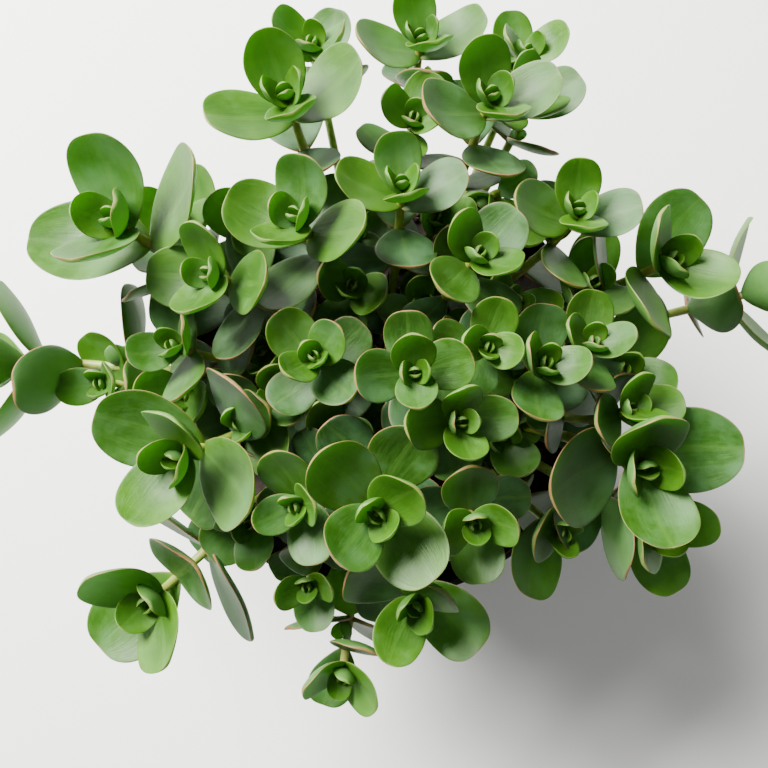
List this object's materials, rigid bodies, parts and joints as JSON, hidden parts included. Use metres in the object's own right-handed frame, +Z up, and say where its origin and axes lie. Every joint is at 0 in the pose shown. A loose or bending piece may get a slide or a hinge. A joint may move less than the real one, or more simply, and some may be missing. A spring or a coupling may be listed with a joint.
{
  "type": "potted sedum",
  "caption": "Leafy round-leaved stonecrop with many rosetted shoots, planted in a plain round black nursery pot of potting mix.",
  "frame": {"origin": "centre of the pot's flat underside", "axes": "+Z up out of the pot, -Y the front, +X to the right of someone who faces the front"},
  "size_m": [0.293, 0.2365, 0.2032],
  "materials": {
    "pot_plastic": "satin moulded, dusty",
    "potting_mix": "coarse, damp",
    "leaf_tissue": "waxy bloom over satin"
  },
  "bodies": {
    "root": {"pot": "pot_plastic", "soil": "potting_mix", "shoot_crown_1": "leaf_tissue", "shoot_crown_2": "leaf_tissue", "shoot_crown_3": "leaf_tissue", "shoot_crown_4": "leaf_tissue", "shoot_crown_5": "leaf_tissue", "shoot_crown_6": "leaf_tissue", "shoot_crown_7": "leaf_tissue", "shoot_crown_8": "leaf_tissue", "shoot_shoulder_1": "leaf_tissue", "shoot_shoulder_2": "leaf_tissue", "shoot_shoulder_3": "leaf_tissue", "shoot_shoulder_4": "leaf_tissue", "shoot_shoulder_5": "leaf_tissue", "shoot_shoulder_6": "leaf_tissue", "shoot_shoulder_7": "leaf_tissue", "shoot_shoulder_8": "leaf_tissue", "shoot_shoulder_9": "leaf_tissue", "shoot_shoulder_10": "leaf_tissue", "shoot_shoulder_11": "leaf_tissue", "shoot_rim_1": "leaf_tissue", "shoot_rim_2": "leaf_tissue", "shoot_rim_3": "leaf_tissue", "shoot_rim_4": "leaf_tissue", "shoot_rim_5": "leaf_tissue", "shoot_rim_6": "leaf_tissue", "shoot_rim_7": "leaf_tissue", "shoot_rim_8": "leaf_tissue", "shoot_rim_9": "leaf_tissue", "shoot_rim_10": "leaf_tissue", "shoot_rim_11": "leaf_tissue", "shoot_rim_12": "leaf_tissue", "shoot_rim_13": "leaf_tissue", "shoot_rim_14": "leaf_tissue", "shoot_trailing_1": "leaf_tissue", "shoot_trailing_2": "leaf_tissue", "shoot_low_1": "leaf_tissue", "shoot_low_2": "leaf_tissue", "shoot_low_3": "leaf_tissue", "shoot_low_4": "leaf_tissue", "shoot_low_5": "leaf_tissue", "shoot_low_6": "leaf_tissue", "shoot_low_7": "leaf_tissue", "shoot_low_8": "leaf_tissue", "shoot_low_9": "leaf_tissue", "shoot_low_10": "leaf_tissue", "shoot_low_11": "leaf_tissue", "shoot_low_12": "leaf_tissue", "shoot_low_13": "leaf_tissue", "shoot_low_14": "leaf_tissue", "shoot_low_15": "leaf_tissue", "shoot_low_16": "leaf_tissue", "shoot_low_17": "leaf_tissue", "shoot_low_18": "leaf_tissue", "shoot_low_19": "leaf_tissue", "shoot_low_20": "leaf_tissue", "shoot_low_21": "leaf_tissue", "shoot_low_22": "leaf_tissue"}
  },
  "joints": []
}
